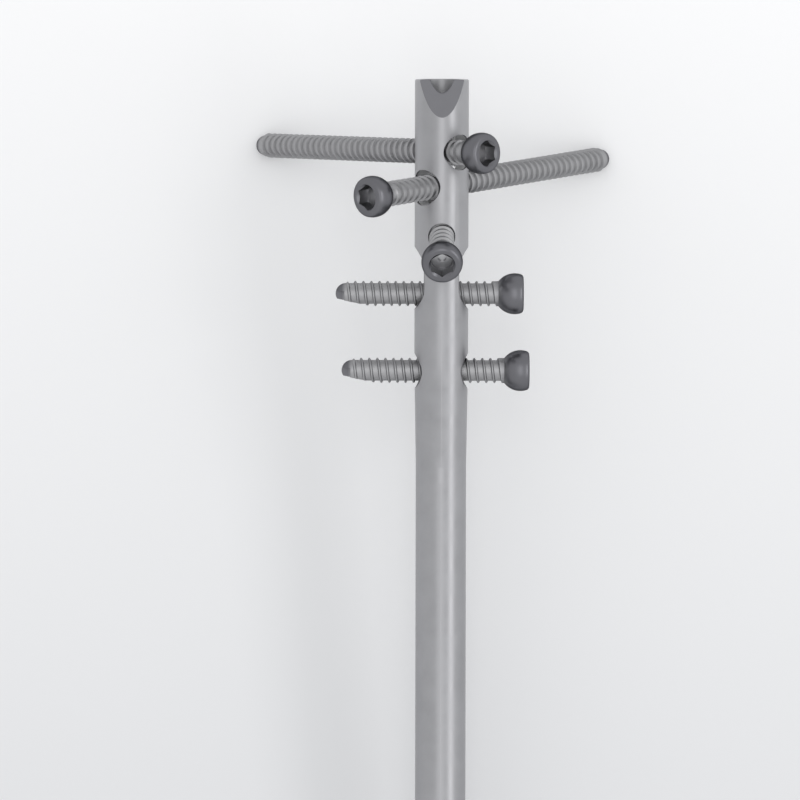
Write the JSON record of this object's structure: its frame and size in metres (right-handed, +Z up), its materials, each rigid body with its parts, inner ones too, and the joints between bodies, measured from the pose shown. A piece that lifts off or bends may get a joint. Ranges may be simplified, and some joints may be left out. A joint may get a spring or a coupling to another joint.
{
  "type": "intramedullary nail",
  "caption": "Cannulated nail for the shin bone with a bent, bevelled upper end, locked by ball-headed screws in oblique, anterior and transverse holes.",
  "frame": {"origin": "on the floor, under the middle of the whole part as it lies at rest", "axes": "+Y along the nail towards its mouth, +Z up, which is the side that faces forwards in the leg, and +X towards the heads of the transverse screws"},
  "size_m": [0.072, 0.3292, 0.0519],
  "materials": {
    "nail_metal": "satin titanium alloy",
    "screw_metal": "satin titanium alloy"
  },
  "bodies": {
    "nail": {"nail_body": "nail_metal", "upper_oblique_screw": "screw_metal", "lower_oblique_screw": "screw_metal", "anterior_screw": "screw_metal", "static_hole_screw": "screw_metal"},
    "slot_screw": {"dynamic_slot_screw": "screw_metal"}
  },
  "joints": [
    {"name": "dynamisation_slide", "type": "slide", "parent": "nail", "child": "slot_screw", "axis": [0.0036, 0.9865, 0.1639], "range_m": [0, 0.0062]}
  ]
}
